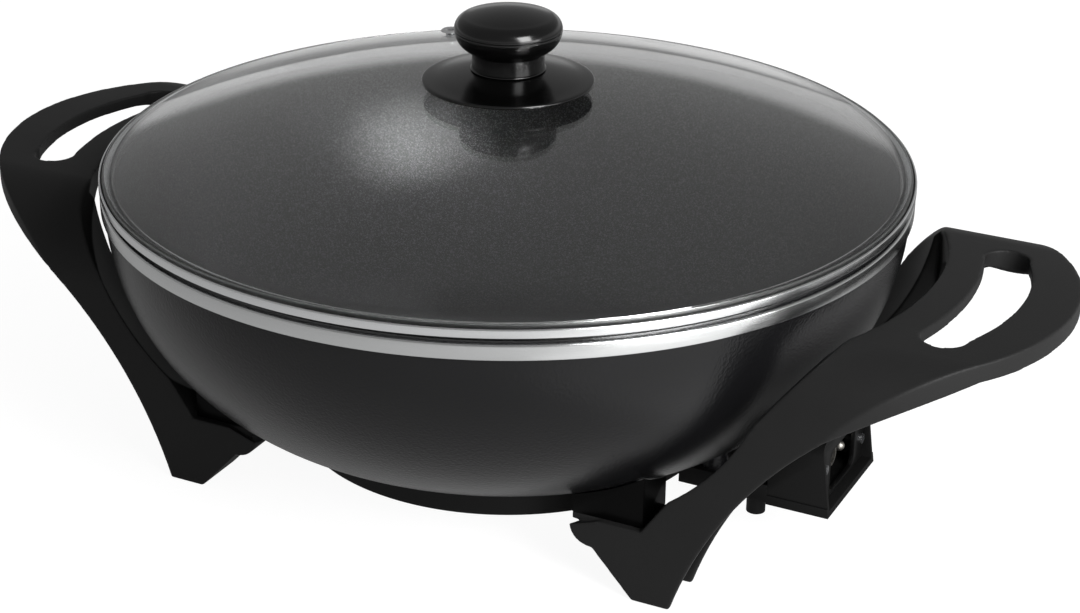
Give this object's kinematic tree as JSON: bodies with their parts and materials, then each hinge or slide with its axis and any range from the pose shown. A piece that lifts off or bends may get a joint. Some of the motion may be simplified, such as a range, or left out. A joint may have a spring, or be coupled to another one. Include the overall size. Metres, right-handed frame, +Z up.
{
  "type": "electric wok",
  "caption": "Countertop electric wok: deep dark bowl on two black handle-and-leg arches, heater base with side inlet, and a domed glass lid with a black knob that lifts off.",
  "frame": {"origin": "on the bowl's axis, in the plane the rubber feet stand on", "axes": "+Z up; +X along the line of the two handles, towards the side with the inlet; -Y is the front"},
  "size_m": [0.5152, 0.3604, 0.2166],
  "materials": {
    "coated_cast_bowl": "dark grey non-stick coating with a fine pebbled texture; rim band machined bright",
    "handle_moulding": "black heat-resistant moulding, fine matt grain",
    "base_moulding": "black moulding, low sheen",
    "inlet_moulding": "black, smooth",
    "knob_moulding": "black, semi-gloss",
    "bracket_paint": "black painted steel, satin",
    "base_sheet": "plain steel sheet",
    "heater_sheath": "heat-darkened steel tube",
    "terminal_metal": "nickel plated",
    "ceramic": "white glazed ceramic",
    "steel_fixings": "bright zinc plated",
    "foot_rubber": "black rubber",
    "silicone": "grey silicone",
    "brass": "turned brass",
    "lid_steel": "rolled stainless steel, satin polish",
    "lid_glass": "clear tempered glass"
  },
  "bodies": {
    "wok_base": {"wok_pan": "coated_cast_bowl", "base_ring": "base_moulding", "base_cover": "base_sheet", "base_cover_screws": "steel_fixings", "heating_element": "heater_sheath", "connector_shroud": "base_moulding", "shroud_screws": "steel_fixings", "inlet_plate": "inlet_moulding", "inlet_screws": "steel_fixings", "terminal_pin_front": "terminal_metal", "terminal_pin_back": "terminal_metal", "insulator_front": "ceramic", "insulator_back": "ceramic", "probe_well": "terminal_metal", "earth_strip": "terminal_metal", "handle_right": "handle_moulding", "handle_left": "handle_moulding", "leg_screws": "steel_fixings", "leg_washers": "steel_fixings", "bracket_right_front": "bracket_paint", "foot_pad_right_front": "foot_rubber", "bracket_right_back": "bracket_paint", "foot_pad_right_back": "foot_rubber", "bracket_left_front": "bracket_paint", "foot_pad_left_front": "foot_rubber", "bracket_left_back": "bracket_paint", "foot_pad_left_back": "foot_rubber"},
    "lid": {"lid_glass": "lid_glass", "lid_trim": "lid_steel", "vent_eyelet": "lid_steel", "knob_collar": "knob_moulding", "knob_body": "knob_moulding", "knob_cap": "knob_moulding", "knob_insert": "brass", "knob_gasket": "silicone", "glass_gasket": "silicone", "knob_washer": "steel_fixings", "knob_screw": "steel_fixings"}
  },
  "joints": [
    {"name": "lid_lift", "type": "slide", "parent": "wok_base", "child": "lid", "axis": [0, 0, 1], "range_m": [0, 0.12]}
  ]
}
